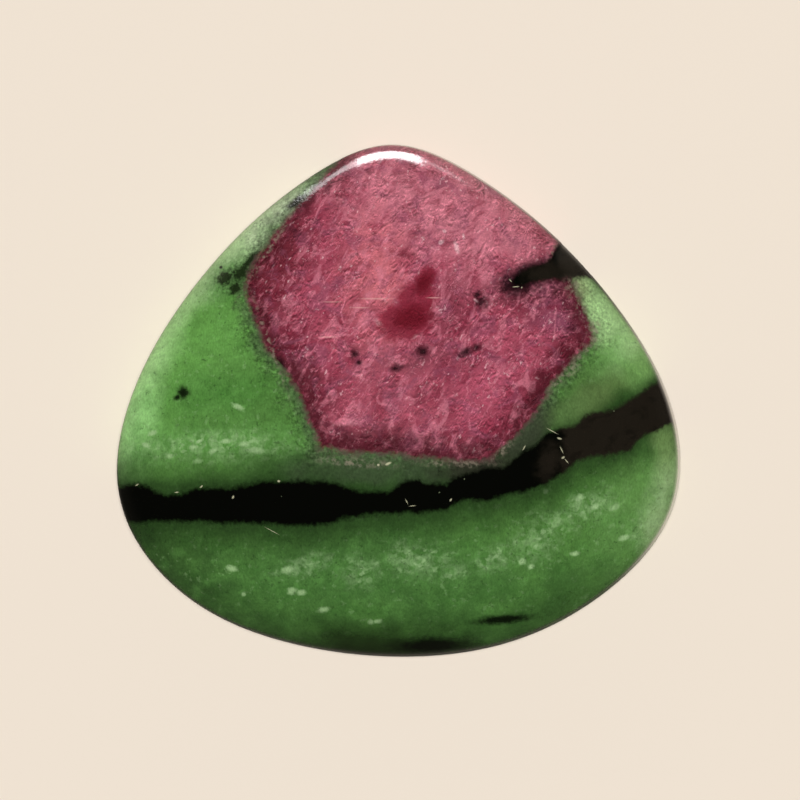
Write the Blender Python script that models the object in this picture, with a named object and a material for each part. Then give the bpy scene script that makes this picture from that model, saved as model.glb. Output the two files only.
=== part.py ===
"""A ruby in zoisite cabochon: one polished stone with a rounded-triangle outline.

Units are metres and +Z is up. The stone lies on its flat lapped back, the origin is the middle of
that back, +X runs across the stone's width and +Y points to its narrow end. From the back upwards
it has a small safety bevel, a short wall that leans in a little, and a low polished dome.
"""

import math

import bmesh
import bpy
import numpy as np

MM = 0.001

# Driving dimensions of the stone.
WIDTH = 34.0 * MM
DEPTH = 30.9 * MM
THICKNESS = 6.2 * MM
WALL_TOP = 2.7 * MM
BACK_BEVEL = 0.45 * MM

# How far the wall leans in by the time it meets the dome. A stone ground by hand against a wheel
# leans more on one side: here it is the side that faces WALL_LEAN_TOWARDS.
WALL_LEAN = 0.22 * MM
WALL_LEAN_CHANGE = 0.13 * MM
WALL_LEAN_TOWARDS = math.radians(-35.0)

# The dome's highest point stands a little behind the middle, towards the stone's wide end.
SUMMIT = (0.0 * MM, -1.2 * MM)

# The dome's section is a superellipse. A flatness of 2 is an ellipse, and more is a flatter top
# with a tighter shoulder. It stops short of vertical, so that it meets the wall at a crest.
DOME_FLATNESS = 2.5
DOME_ROUNDNESS = 2.0
DOME_LAST_ANGLE = math.radians(66.0)

# Mesh density: points round the stone, and rings from the wall to the summit.
POINTS_ROUND = 144
WALL_RINGS = 2
DOME_RINGS = 18
SMOOTH_BELOW = math.radians(30.0)

# The outline, in millimetres, anticlockwise from the narrow end. The smooth closed curve through
# these points is scaled to WIDTH by DEPTH.
OUTLINE = [
    (-0.5, 15.4), (-5.3, 13.5), (-9.5, 10.1), (-13.0, 6.0),
    (-16.0, 0.6), (-16.8, -6.0), (-12.5, -12.0), (-6.5, -14.6),
    (-0.5, -15.4), (6.8, -14.5), (12.5, -11.5), (16.6, -6.3),
    (16.7, -1.2), (13.8, 4.8), (9.5, 9.8), (4.7, 13.5),
]  # fmt: skip


def closed_spline(points, count):
    """The smooth closed cubic through the points, as count points evenly spaced along it."""
    knots = np.array(points)
    total = len(knots)
    after = np.roll(knots, -1, axis=0)
    gap = np.linalg.norm(after - knots, axis=1)
    matrix = np.zeros((total, total))
    target = np.zeros((total, 2))
    for i in range(total):
        back, ahead = gap[i - 1], gap[i]
        matrix[i, i - 1] += 1 / back
        matrix[i, i] += 2 / back + 2 / ahead
        matrix[i, (i + 1) % total] += 1 / ahead
        target[i] = 3 * (knots[i] - knots[i - 1]) / back**2 + 3 * (after[i] - knots[i]) / ahead**2
    slope = np.linalg.solve(matrix, target)
    t = np.linspace(0, 1, 40, endpoint=False)[:, None]
    pieces = [
        (2 * t**3 - 3 * t**2 + 1) * knots[i]
        + (t**3 - 2 * t**2 + t) * gap[i] * slope[i]
        + (3 * t**2 - 2 * t**3) * after[i]
        + (t**3 - t**2) * gap[i] * slope[(i + 1) % total]
        for i in range(total)
    ]
    fine = np.vstack(pieces)
    fine = np.vstack([fine, fine[:1]])
    along = np.concatenate([[0], np.cumsum(np.linalg.norm(np.diff(fine, axis=0), axis=1))])
    places = np.linspace(0, along[-1], count, endpoint=False)
    return np.stack([np.interp(places, along, fine[:, axis]) for axis in (0, 1)], axis=1)


def stone_outline():
    """The stone's widest outline, centred on the origin and exactly WIDTH by DEPTH."""
    curve = closed_spline(OUTLINE, POINTS_ROUND)
    low, high = curve.min(axis=0), curve.max(axis=0)
    return (curve - (low + high) / 2) / (high - low) * np.array([WIDTH, DEPTH])


def outward_normals(outline):
    """Unit vectors that point out of an anticlockwise outline, one at each of its points."""
    along = np.roll(outline, -1, axis=0) - np.roll(outline, 1, axis=0)
    normals = np.stack([along[:, 1], -along[:, 0]], axis=1)
    return normals / np.linalg.norm(normals, axis=1, keepdims=True)


def wall_lean(normals):
    """How far the wall leans in at each point of the outline."""
    towards = np.array([math.cos(WALL_LEAN_TOWARDS), math.sin(WALL_LEAN_TOWARDS)])
    return WALL_LEAN + WALL_LEAN_CHANGE * (normals @ towards)


def stone_rings():
    """The stone's rings of points from its back to its summit, each with its height."""
    outline = stone_outline()
    normals = outward_normals(outline)
    lean = wall_lean(normals)[:, None]
    rings = [(outline - normals * BACK_BEVEL, 0.0)]
    for step in range(WALL_RINGS + 1):
        share = step / WALL_RINGS
        height = BACK_BEVEL + (WALL_TOP - BACK_BEVEL) * share
        rings.append((outline - normals * lean * share, height))
    summit = np.array(SUMMIT)
    spread = rings[-1][0] - summit
    crown = THICKNESS - WALL_TOP
    edge_reach = math.sin(DOME_LAST_ANGLE) ** (2 / DOME_FLATNESS)
    edge_rise = math.cos(DOME_LAST_ANGLE) ** (2 / DOME_ROUNDNESS)
    for step in range(1, DOME_RINGS):
        angle = DOME_LAST_ANGLE * (1 - step / DOME_RINGS)
        reach = math.sin(angle) ** (2 / DOME_FLATNESS) / edge_reach
        rise = (math.cos(angle) ** (2 / DOME_ROUNDNESS) - edge_rise) / (1 - edge_rise)
        rings.append((summit + spread * reach, WALL_TOP + crown * rise))
    return rings


def add_ring(mesh, points, height):
    """A closed loop of edges through the points, at one height."""
    corners = [mesh.verts.new((x, y, height)) for x, y in points]
    return [
        mesh.edges.new((corner, corners[(i + 1) % len(corners)]))
        for i, corner in enumerate(corners)
    ]


def build_cabochon():
    """The stone as one closed mesh: its rings bridged together, with a cap at each end."""
    mesh = bmesh.new()
    loops = [add_ring(mesh, points, height) for points, height in stone_rings()]
    for lower, upper in zip(loops, loops[1:]):
        bmesh.ops.bridge_loops(mesh, edges=lower + upper)
    back = bmesh.ops.contextual_create(mesh, geom=loops[0])["faces"]
    crown = bmesh.ops.contextual_create(mesh, geom=loops[-1])["faces"]
    bmesh.ops.poke(mesh, faces=back)
    summit = bmesh.ops.poke(mesh, faces=crown)["verts"]
    for corner in summit:
        corner.co = (*SUMMIT, THICKNESS)
    bmesh.ops.recalc_face_normals(mesh, faces=mesh.faces)
    data = bpy.data.meshes.new("cabochon")
    mesh.to_mesh(data)
    mesh.free()
    data.shade_smooth()
    data.set_sharp_from_angle(angle=SMOOTH_BELOW)
    return bpy.data.objects.new("cabochon", data)


def polished_stone():
    """Green zoisite under a bright polish."""
    material = bpy.data.materials.new("ruby_in_zoisite")
    material.use_nodes = True
    shader = material.node_tree.nodes["Principled BSDF"]
    shader.inputs["Base Color"].default_value = (0.10, 0.24, 0.06, 1.0)
    shader.inputs["Roughness"].default_value = 0.15
    shader.inputs["Metallic"].default_value = 0.0
    shader.inputs["IOR"].default_value = 1.7
    return material


def main():
    """Clears the scene and builds the stone in its own collection."""
    for old in list(bpy.data.objects):
        bpy.data.objects.remove(old, do_unlink=True)
    collection = bpy.data.collections.new("ruby_in_zoisite")
    bpy.context.scene.collection.children.link(collection)
    stone = build_cabochon()
    stone.data.materials.append(polished_stone())
    collection.objects.link(stone)


main()
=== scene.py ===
"""The looks of a polished ruby in zoisite cabochon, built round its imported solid.

One six-sided ruby crystal, cut across, lies in green zoisite. A vein of black amphibole runs below
it, and a wedge of the same mineral cuts into its right side. Places and sizes on the stone are in
millimetres in the part's own frame, with +Z up out of the dome and +Y towards the narrow end, and
become metres when its mesh is written. The studio's are in metres, unless a comment says otherwise.
"""

import logging
import math
from collections.abc import Iterable, Mapping, Sequence
from dataclasses import dataclass
from enum import Enum

import bpy
import numpy as np
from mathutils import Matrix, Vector, noise


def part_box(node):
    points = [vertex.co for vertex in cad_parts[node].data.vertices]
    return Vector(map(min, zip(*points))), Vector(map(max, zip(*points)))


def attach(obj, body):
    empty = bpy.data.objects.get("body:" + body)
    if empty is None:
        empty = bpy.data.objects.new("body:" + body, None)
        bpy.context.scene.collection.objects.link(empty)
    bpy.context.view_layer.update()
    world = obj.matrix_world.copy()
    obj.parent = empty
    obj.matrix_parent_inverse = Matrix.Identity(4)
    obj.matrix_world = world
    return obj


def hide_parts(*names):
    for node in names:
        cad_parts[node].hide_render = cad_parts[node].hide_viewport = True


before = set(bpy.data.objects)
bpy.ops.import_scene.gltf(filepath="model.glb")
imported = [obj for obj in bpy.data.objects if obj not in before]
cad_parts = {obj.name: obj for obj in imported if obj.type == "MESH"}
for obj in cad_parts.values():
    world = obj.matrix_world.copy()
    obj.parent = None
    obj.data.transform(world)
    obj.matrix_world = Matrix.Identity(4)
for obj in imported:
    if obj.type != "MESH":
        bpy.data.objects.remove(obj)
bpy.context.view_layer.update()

log = logging.getLogger("ruby_in_zoisite")

MM = 0.001
Socket = bpy.types.NodeSocket
Feed = float | Sequence[float] | Socket
Points = tuple[tuple[float, float], ...]

# Socket numbers of a Mix node that mixes colours: its two inputs and its result.
MIX_UNDER = 6
MIX_OVER = 7
MIX_RESULT = 2

# The values between which most of a cloud lies, nearly all of it, and most of a cloud's slope.
CLOUD_MOST = (0.3, 0.7)
CLOUD_ALL = (0.25, 0.75)
CLOUD_SLOPE = (-0.16, 0.16)

# An area light's power is this many times its radiance for each square metre.
POWER_PER_RADIANCE = 4


def linear(colour: str) -> tuple[float, float, float, float]:
    """Turns an sRGB hex colour into the linear one that a shader takes.

    Args:
        colour: the colour as "#RRGGBB".

    Returns:
        Its linear red, green, blue and an alpha of 1.
    """
    shares = [int(colour[i : i + 2], 16) / 255 for i in (1, 3, 5)]
    lit = [s / 12.92 if s <= 0.04045 else ((s + 0.055) / 1.055) ** 2.4 for s in shares]
    return (*lit, 1.0)


def add_node(
    tree: bpy.types.NodeTree,
    kind: str,
    feeds: Mapping[int | str, Feed],
    out: int | str = 0,
    **settings: object,
) -> Socket:
    """Adds one node with its settings and its links.

    Args:
        tree: the node tree that it goes in.
        kind: the node's type, without its "ShaderNode".
        feeds: what each input is given, by number or name: a value, or another node's output.
        out: the output to hand back, by number or name.
        **settings: the node's own properties.

    Returns:
        The output named by out.
    """
    node = tree.nodes.new("ShaderNode" + kind)
    for name, value in settings.items():
        setattr(node, name, value)
    for socket, feed in feeds.items():
        if isinstance(feed, Socket):
            tree.links.new(feed, node.inputs[socket])
        else:
            node.inputs[socket].default_value = feed
    return node.outputs[out]


def worked(tree: bpy.types.NodeTree, operation: str, *values: Feed) -> Socket:
    """Works out one sum.

    Args:
        tree: the node tree that it goes in.
        operation: the Math node's name for it, such as "ADD".
        *values: what it takes, in order.

    Returns:
        The result.
    """
    return add_node(tree, "Math", dict(enumerate(values)), operation=operation)


def faded(
    tree: bpy.types.NodeTree, value: Socket, start: float, end: float, top: Feed = 1.0
) -> Socket:
    """Goes smoothly from 0, where a value is at start, to the top, where it is at end.

    Args:
        tree: the node tree that it goes in.
        value: the value to follow.
        start: the value at which it is 0.
        end: the value at which it is at its top.
        top: what it rises to.

    Returns:
        The faded value.
    """
    feeds = {"Value": value, "From Min": start, "From Max": end, "To Max": top}
    return add_node(tree, "MapRange", feeds, interpolation_type="SMOOTHSTEP")


def eased(values: np.ndarray, start: float, end: float) -> np.ndarray:
    """Goes smoothly from 0 at start to 1 at end.

    Args:
        values: where to look it up.
        start: the value at which it is 0.
        end: the value at which it is 1.

    Returns:
        The share at each value.
    """
    share = np.clip((values - start) / (end - start), 0, 1)
    return share * share * (3 - 2 * share)


@dataclass(frozen=True)
class Girdle:
    """The stone's widest outline: a smooth closed curve, anticlockwise from the narrow end."""

    width: float
    depth: float
    knots: Points = (
        (-0.5, 15.4), (-5.3, 13.5), (-9.5, 10.1), (-13.0, 6.0),
        (-16.0, 0.6), (-16.8, -6.0), (-12.5, -12.0), (-6.5, -14.6),
        (-0.5, -15.4), (6.8, -14.5), (12.5, -11.5), (16.6, -6.3),
        (16.7, -1.2), (13.8, 4.8), (9.5, 9.8), (4.7, 13.5),
    )  # fmt: skip
    # How many points are worked out from each knot to the next.
    samples: int = 60

    def slopes(self, knots: np.ndarray, gaps: np.ndarray) -> np.ndarray:
        """Solves for the slopes that make the closed cubic bend smoothly.

        Args:
            knots: the outline's points.
            gaps: the distance from each point to the next.

        Returns:
            The curve's slope at each point, per millimetre.
        """
        total = len(knots)
        matrix = np.zeros((total, total))
        target = np.zeros((total, 2))
        for i in range(total):
            back, ahead, after = gaps[i - 1], gaps[i], (i + 1) % total
            matrix[i, i - 1] += 1 / back
            matrix[i, i] += 2 / back + 2 / ahead
            matrix[i, after] += 1 / ahead
            target[i] = 3 * (knots[i] - knots[i - 1]) / back**2
            target[i] += 3 * (knots[after] - knots[i]) / ahead**2
        return np.linalg.solve(matrix, target)

    def curve(self, count: int) -> np.ndarray:
        """Draws the outline at its full width and depth.

        Args:
            count: how many points to give.

        Returns:
            Points spaced evenly along the outline, as count rows of x and y.
        """
        knots = np.array(self.knots)
        after = np.roll(knots, -1, axis=0)
        gaps = np.linalg.norm(after - knots, axis=1)
        slopes = self.slopes(knots, gaps)
        t = np.linspace(0, 1, self.samples, endpoint=False)[:, None]
        pieces = [
            (2 * t**3 - 3 * t**2 + 1) * knots[i]
            + (t**3 - 2 * t**2 + t) * gaps[i] * slopes[i]
            + (3 * t**2 - 2 * t**3) * after[i]
            + (t**3 - t**2) * gaps[i] * slopes[(i + 1) % len(knots)]
            for i in range(len(knots))
        ]
        fine = np.vstack([*pieces, pieces[0][:1]])
        along = np.concatenate([[0], np.cumsum(np.linalg.norm(np.diff(fine, axis=0), axis=1))])
        places = np.linspace(0, along[-1], count, endpoint=False)
        drawn = np.stack([np.interp(places, along, fine[:, axis]) for axis in (0, 1)], axis=1)
        low, high = drawn.min(axis=0), drawn.max(axis=0)
        return (drawn - (low + high) / 2) / (high - low) * np.array([self.width, self.depth])

    @staticmethod
    def outward(curve: np.ndarray) -> np.ndarray:
        """Gives the unit vectors that point out of an anticlockwise outline.

        Args:
            curve: the outline's points.

        Returns:
            One unit vector for each point.
        """
        along = np.roll(curve, -1, axis=0) - np.roll(curve, 1, axis=0)
        normals = np.stack([along[:, 1], -along[:, 0]], axis=1)
        return normals / np.linalg.norm(normals, axis=1, keepdims=True)


@dataclass(frozen=True)
class RubyCrystal:
    """A six-sided prism cut across. The stone's own outline cuts its top off.

    The left and right sides are read from the bottom up as y and x, and the bottom is read from
    left to right as x and y.
    """

    left: Points = (
        (-3.1, -4.5), (-1.9, -4.9), (-1.4, -5.3), (0.3, -5.8), (1.7, -6.65), (3.0, -7.85),
        (4.0, -8.25), (5.5, -8.85), (6.7, -9.15), (7.7, -9.0), (8.9, -8.25), (10.4, -7.15),
        (11.75, -6.05), (12.7, -5.2), (14.5, -3.6),
    )  # fmt: skip
    right: Points = (
        (-3.6, 5.6), (-2.6, 6.55), (-1.25, 7.9), (0.1, 8.8), (1.2, 9.4), (2.85, 10.95),
        (3.35, 11.7), (4.05, 11.8), (4.75, 11.55), (6.0, 10.95), (6.75, 10.7), (7.5, 10.6),
        (9.3, 12.5),
    )  # fmt: skip
    bottom: Points = (
        (-4.4, -2.85), (-2.9, -3.15), (-0.3, -3.1), (1.4, -3.45), (3.9, -3.65), (5.8, -3.5),
    )  # fmt: skip
    # The sides lean, so the way straight out of them is this share of the way across.
    way_out: float = 0.83

    def reach(self, places: np.ndarray) -> np.ndarray:
        """Measures how far places lie outside the crystal.

        Args:
            places: rows of x and y.

        Returns:
            The distance in millimetres, below 0 inside.
        """
        x, y = places.T
        past_left = np.interp(y, *np.array(self.left).T) - x
        past_right = x - np.interp(y, *np.array(self.right).T)
        below = np.interp(x, *np.array(self.bottom).T) - y
        return np.max([past_left, past_right, below], axis=0) * self.way_out


@dataclass(frozen=True)
class Vein:
    """A seam of black amphibole between an upper and a lower edge, both read from left to right."""

    upper: Points
    lower: Points

    def reach(self, places: np.ndarray) -> np.ndarray:
        """Measures how far places lie outside the vein.

        Args:
            places: rows of x and y.

        Returns:
            The distance in millimetres, below 0 inside.
        """
        x, y = places.T
        above = y - np.interp(x, *np.array(self.upper).T)
        below = np.interp(x, *np.array(self.lower).T) - y
        return np.maximum(np.maximum(above, below), self.upper[0][0] - x)


@dataclass(frozen=True)
class Spot:
    """An oval patch: its middle, its half width and half height, and its turn in degrees."""

    x: float
    y: float
    half_width: float
    half_height: float
    turn: float = 0.0


@dataclass(frozen=True)
class Tint:
    """A patch of the rock that has its own colour, and how strongly and softly it shows."""

    colour: str
    spot: Spot
    strength: float = 0.8
    softness: float = 0.7


MAIN_VEIN = Vein(
    upper=(
        (-17.3, -5.3), (-15.9, -5.1), (-15.1, -5.25), (-14.6, -5.6), (-13.8, -5.75),
        (-12.85, -5.65), (-12.1, -5.35), (-9.8, -5.3), (-8.1, -4.9), (-4.3, -4.9),
        (-3.6, -5.05), (-2.9, -5.3), (-2.5, -5.5), (-0.6, -5.55), (-0.15, -5.3),
        (0.5, -4.85), (1.05, -4.75), (1.8, -5.05), (3.0, -5.05), (3.4, -4.7),
        (4.1, -4.45), (5.1, -4.1), (6.3, -4.1), (6.95, -3.65), (7.55, -3.05),
        (8.3, -2.7), (9.0, -2.05), (9.55, -1.75), (10.75, -1.5), (11.25, -1.0),
        (12.0, -0.75), (13.1, -0.55), (14.3, 0.15), (15.3, 0.85), (17.3, 1.7),
    ),
    lower=(
        (-17.3, -7.35), (-15.6, -7.4), (-14.5, -7.25), (-8.1, -7.4), (-6.4, -7.5),
        (-4.05, -7.45), (-3.45, -7.1), (-2.7, -7.05), (-1.8, -6.8), (2.85, -6.6),
        (3.35, -6.2), (4.1, -6.0), (5.35, -6.0), (6.6, -5.6), (8.05, -5.35),
        (9.1, -4.9), (9.8, -4.45), (10.75, -3.7), (11.7, -3.35), (12.5, -3.3),
        (14.05, -2.95), (14.3, -2.6), (14.9, -2.1), (15.7, -1.8), (17.3, -1.05),
    ),
)  # fmt: skip

WEDGE = Vein(
    upper=(
        (6.9, 7.15), (7.2, 7.5), (7.6, 7.8), (8.0, 8.0), (8.5, 8.2), (9.0, 8.35),
        (9.35, 8.7), (9.65, 9.3), (12.0, 11.5),
    ),
    lower=(
        (6.9, 7.05), (7.2, 6.85), (7.6, 6.95), (8.0, 7.1), (8.65, 7.2), (9.35, 7.35),
        (10.9, 7.4), (12.0, 7.5),
    ),
)  # fmt: skip


@dataclass(frozen=True)
class Markings:
    """Where each mineral lies in the stone, seen from above."""

    ruby: RubyCrystal = RubyCrystal()
    veins: tuple[Vein, ...] = (MAIN_VEIN, WEDGE)
    # How far the boundaries slant sideways for each millimetre of depth.
    slant: tuple[float, float] = (0.10, -0.06)
    # The markings are drawn on a level plan. On the dome above it they lie nearer the middle by
    # this share, and the plan's middle is this far from the stone's.
    spread: float = 1.015
    middle: tuple[float, float] = (0.09, -0.05)
    # The red heart of the ruby, and the lobe that rises from it.
    heart: tuple[Spot, ...] = (
        Spot(0.36, 4.78, 1.76, 1.24, 10), Spot(1.10, 6.00, 1.30, 1.05, 55),
        Spot(1.66, 7.20, 0.95, 0.62, 62),
    )  # fmt: skip
    # The darkest parts of the heart.
    core: tuple[Spot, ...] = (Spot(0.78, 4.95, 1.20, 0.74, 12), Spot(1.60, 7.05, 0.80, 0.42, 62))
    # Small grains of amphibole in the ruby, half hidden in it.
    sunken: tuple[Spot, ...] = (
        Spot(5.05, 5.88, 0.40, 0.38),
        Spot(4.82, 6.35, 0.24, 0.20, 60),
        Spot(1.45, 2.88, 0.42, 0.34, 15),
        Spot(4.05, 2.88, 0.42, 0.24, 20),
        Spot(4.70, 3.15, 0.34, 0.20, 10),
        Spot(-0.05, 1.93, 0.40, 0.22, 10),
        Spot(-2.55, 2.80, 0.24, 0.36, -10),
        Spot(-2.30, 2.25, 0.18, 0.16),
        Spot(-7.00, 2.10, 0.26, 0.46, 25),
        Spot(7.10, 6.98, 1.15, 0.80, 8),
        Spot(6.55, 6.85, 0.55, 0.45, 50),
        Spot(7.60, 7.65, 0.90, 0.44, 30),
    )
    # Grains of amphibole in the zoisite, apart from the veins.
    grains: tuple[Spot, ...] = (
        Spot(-12.92, 0.45, 0.36, 0.36),
        Spot(-13.28, 0.18, 0.24, 0.16, 35),
        Spot(-10.70, 8.05, 0.10, 0.08, 20),
        Spot(-6.15, 12.0, 0.62, 0.24, 38),
        Spot(2.13, -14.85, 2.10, 0.52, 2),
        Spot(6.35, -13.25, 1.60, 0.27, 4),
    )
    # Dark green clumps beside the ruby's left corner, where the amphibole is finely spread.
    clumps: tuple[Spot, ...] = (
        Spot(-10.40, 7.39, 0.58, 0.40, 30),
        Spot(-9.45, 7.72, 0.60, 0.44, 30),
        Spot(-8.85, 8.40, 0.72, 0.26, 44),
        Spot(-9.80, 6.75, 0.42, 0.30, 60),
        Spot(-8.60, 5.60, 0.22, 1.10, 12),
    )
    # Where a flaw parts the main vein: along +X the amphibole is black before the first place and
    # brown past the second.
    flaw: tuple[float, float] = (9.6, 10.2)


class Zone(Enum):
    """The three parts of the stone's surface, as the shop cuts them."""

    BACK = "lapped back"
    WALL = "wall"
    DOME = "dome"


@dataclass(frozen=True)
class MapLayout:
    """Where each zone lies on the stone's texture map, a square with a side of 1."""

    dome_corner: tuple[float, float] = (0.01, 0.01)
    dome_width: float = 0.77
    back_corner: tuple[float, float] = (0.01, 0.73)
    back_width: float = 0.27
    # The wall is cut into strips of equal length, which stand side by side.
    strips: int = 2
    strip_corner: tuple[float, float] = (0.81, 0.01)
    strip_step: float = 0.08
    strip_width: float = 0.055
    strip_length: float = 0.98


@dataclass
class Cabochon:
    """The stone: a flat back with a small bevel, a short wall that leans in, and a low dome."""

    low: Vector
    high: Vector
    marks: Markings
    wall_top: float = 2.7
    back_bevel: float = 0.45
    # How far the wall leans in over its height, how much more it leans on one side, and that side
    # in degrees from +X.
    wall_lean: float = 0.22
    wall_lean_change: float = 0.13
    wall_lean_towards: float = -35.0
    summit: tuple[float, float] = (0.0, -1.2)
    # The dome's section: the power that makes its oval squarer, and the angle from the top at which
    # the oval meets the wall.
    dome_flatness: float = 2.5
    dome_last_angle: float = 66.0
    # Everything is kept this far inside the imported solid.
    margin: float = 0.01
    # How far the polish has worn each mineral below the ruby, the hardest, and how deep and how
    # wide the line at its contact is worn.
    zoisite_wear: float = 0.014
    amphibole_wear: float = 0.024
    contact_wear: float = 0.012
    contact_width: float = 0.22
    # The distances out of the ruby and out of the amphibole where the step between levels starts
    # and ends.
    ruby_step: tuple[float, float] = (-0.15, 0.35)
    amphibole_step: tuple[float, float] = (-0.25, 0.15)
    # A hand-held polish leaves long, very low waves.
    wave_length: float = 4.5
    wave_depth: float = 0.010
    round_count: int = 720
    back_rings: int = 10
    bevel_rings: int = 4
    wall_rings: int = 14
    dome_rings: int = 84
    # The relief starts above this many of the bevel's rings.
    level_bevel_rings: int = 2
    # How often an edge is softened, and over how many rings to each side of it.
    edge_passes: int = 5
    edge_spread: int = 3
    layout: MapLayout = MapLayout()

    @property
    def size(self) -> np.ndarray:
        """The width, depth and thickness in millimetres."""
        return np.array(self.high - self.low) / MM - 2 * self.margin

    def rings(self) -> tuple[np.ndarray, list[Zone]]:
        """Lays the rings of points from the middle of the back to the summit.

        Returns:
            The rings as rings by points by x, y and z, and the zone above each ring but the last.
        """
        width, depth, thickness = self.size
        outline = Girdle(width, depth).curve(self.round_count)
        normals = Girdle.outward(outline)
        turn = math.radians(self.wall_lean_towards)
        towards = np.array([math.cos(turn), math.sin(turn)])
        lean = (self.wall_lean + self.wall_lean_change * (normals @ towards))[:, None]
        foot = outline - normals * self.back_bevel
        laid = [(foot * s, 0.0) for s in np.linspace(0, 1, self.back_rings + 1)[1:]]
        zones = [Zone.BACK] * (self.back_rings - 1)
        for share in np.linspace(0, 1, self.bevel_rings + 2)[1:-1]:
            laid.append((foot + (outline - foot) * share, self.back_bevel * share))
        for share in np.linspace(0, 1, self.wall_rings + 1):
            height = self.back_bevel + (self.wall_top - self.back_bevel) * share
            laid.append((outline - normals * lean * share, height))
        zones += [Zone.WALL] * (self.bevel_rings + 1 + self.wall_rings)
        laid += self.dome(laid[-1][0], thickness)
        zones += [Zone.DOME] * (self.dome_rings - 1)
        heights = [np.full((self.round_count, 1), height) for _, height in laid]
        stacked = np.array([np.hstack([xy, z]) for (xy, _), z in zip(laid, heights)])
        return stacked, zones

    def dome(self, crest: np.ndarray, thickness: float) -> list[tuple[np.ndarray, float]]:
        """Lays the dome's rings above the crest, where it meets the wall.

        Args:
            crest: the wall's top ring.
            thickness: the height of the summit.

        Returns:
            Each ring's points and its height.
        """
        last = math.radians(self.dome_last_angle)
        summit = np.array(self.summit)
        edge_reach = math.sin(last) ** (2 / self.dome_flatness)
        edge_rise = math.cos(last)
        laid = []
        for share in np.linspace(1, 0, self.dome_rings + 1)[1:-1]:
            reach = share * edge_reach
            rise = (math.sqrt(1 - reach**self.dome_flatness) - edge_rise) / (1 - edge_rise)
            height = self.wall_top + (thickness - self.wall_top) * rise
            laid.append((summit + (crest - summit) * share, height))
        return laid

    def soften_edges(self, rings: np.ndarray, zones: list[Zone]) -> np.ndarray:
        """Rounds the bevel and the crest a little, as a last polish does. The flat back stays flat.

        Args:
            rings: the rings as laid.
            zones: the zone above each ring.

        Returns:
            The rings with their edges softened.
        """
        crest = zones.index(Zone.DOME)
        bevel_top = zones.index(Zone.WALL) + self.bevel_rings + 1
        soft = rings.copy()
        for _ in range(self.edge_passes):
            for middle in (bevel_top, crest):
                first, last = middle - self.edge_spread, middle + self.edge_spread
                around = (soft[first - 1 : last] + soft[first + 1 : last + 2]) / 2
                soft[first : last + 1] = (soft[first : last + 1] + around) / 2
        return soft

    def relief(self, places: np.ndarray) -> np.ndarray:
        """Works out how far the polish has worn the surface in.

        Args:
            places: rows of x, y and z.

        Returns:
            The depth at each place, never below 0.
        """
        plan = places[:, :2] * self.marks.spread + np.array(self.marks.middle)
        ruby = self.marks.ruby.reach(plan)
        black = np.min([vein.reach(plan) for vein in self.marks.veins], axis=0)
        worn = self.zoisite_wear * eased(ruby, *self.ruby_step)
        in_black = 1 - eased(black, *self.amphibole_step)
        worn = worn * (1 - in_black) + self.amphibole_wear * in_black
        worn += self.contact_wear * np.exp(-((ruby / self.contact_width) ** 2)) * (1 - in_black)
        waves = [noise.noise(Vector(p) / self.wave_length) for p in places]
        return worn + self.wave_depth * (np.array(waves) * 0.5 + 0.5)

    def worn(self, rings: np.ndarray, zones: list[Zone]) -> np.ndarray:
        """Moves the dome and the wall in by the relief, and leaves the flat back as it is.

        Args:
            rings: the stone's smooth rings.
            zones: the zone above each ring.

        Returns:
            The rings after polishing.
        """
        across = np.roll(rings, -1, axis=1) - np.roll(rings, 1, axis=1)
        up = np.gradient(rings, axis=0)
        normals = np.cross(across, up)
        normals /= np.linalg.norm(normals, axis=2, keepdims=True)
        depth = self.relief(rings.reshape(-1, 3)).reshape(rings.shape[:2])
        depth[: self.back_rings + self.level_bevel_rings] = 0
        return rings - normals * depth[:, :, None]

    def map_corners(self, places: np.ndarray, zone: Zone, along: np.ndarray) -> np.ndarray:
        """Places one zone's corners on the stone's texture map.

        Args:
            places: the corners' x, y and z.
            zone: the zone that they belong to.
            along: how far round the stone each corner is, from 0 to 1.

        Returns:
            The corners' u and v, with every zone in a place of its own.
        """
        width, depth, _ = self.size
        centred = places[:, :2] + np.array([width, depth]) / 2
        layout = self.layout
        if zone is Zone.DOME:
            return np.array(layout.dome_corner) + centred * (layout.dome_width / width)
        if zone is Zone.BACK:
            return np.array(layout.back_corner) + centred * (layout.back_width / width)
        strip = np.minimum(np.floor(along.mean() * layout.strips), layout.strips - 1)
        start_u, start_v = layout.strip_corner
        up_wall = places[:, 2] / self.wall_top
        u = start_u + strip * layout.strip_step + up_wall * layout.strip_width
        v = start_v + (along * layout.strips - strip) * layout.strip_length
        return np.stack([u, v], axis=1)

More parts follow.
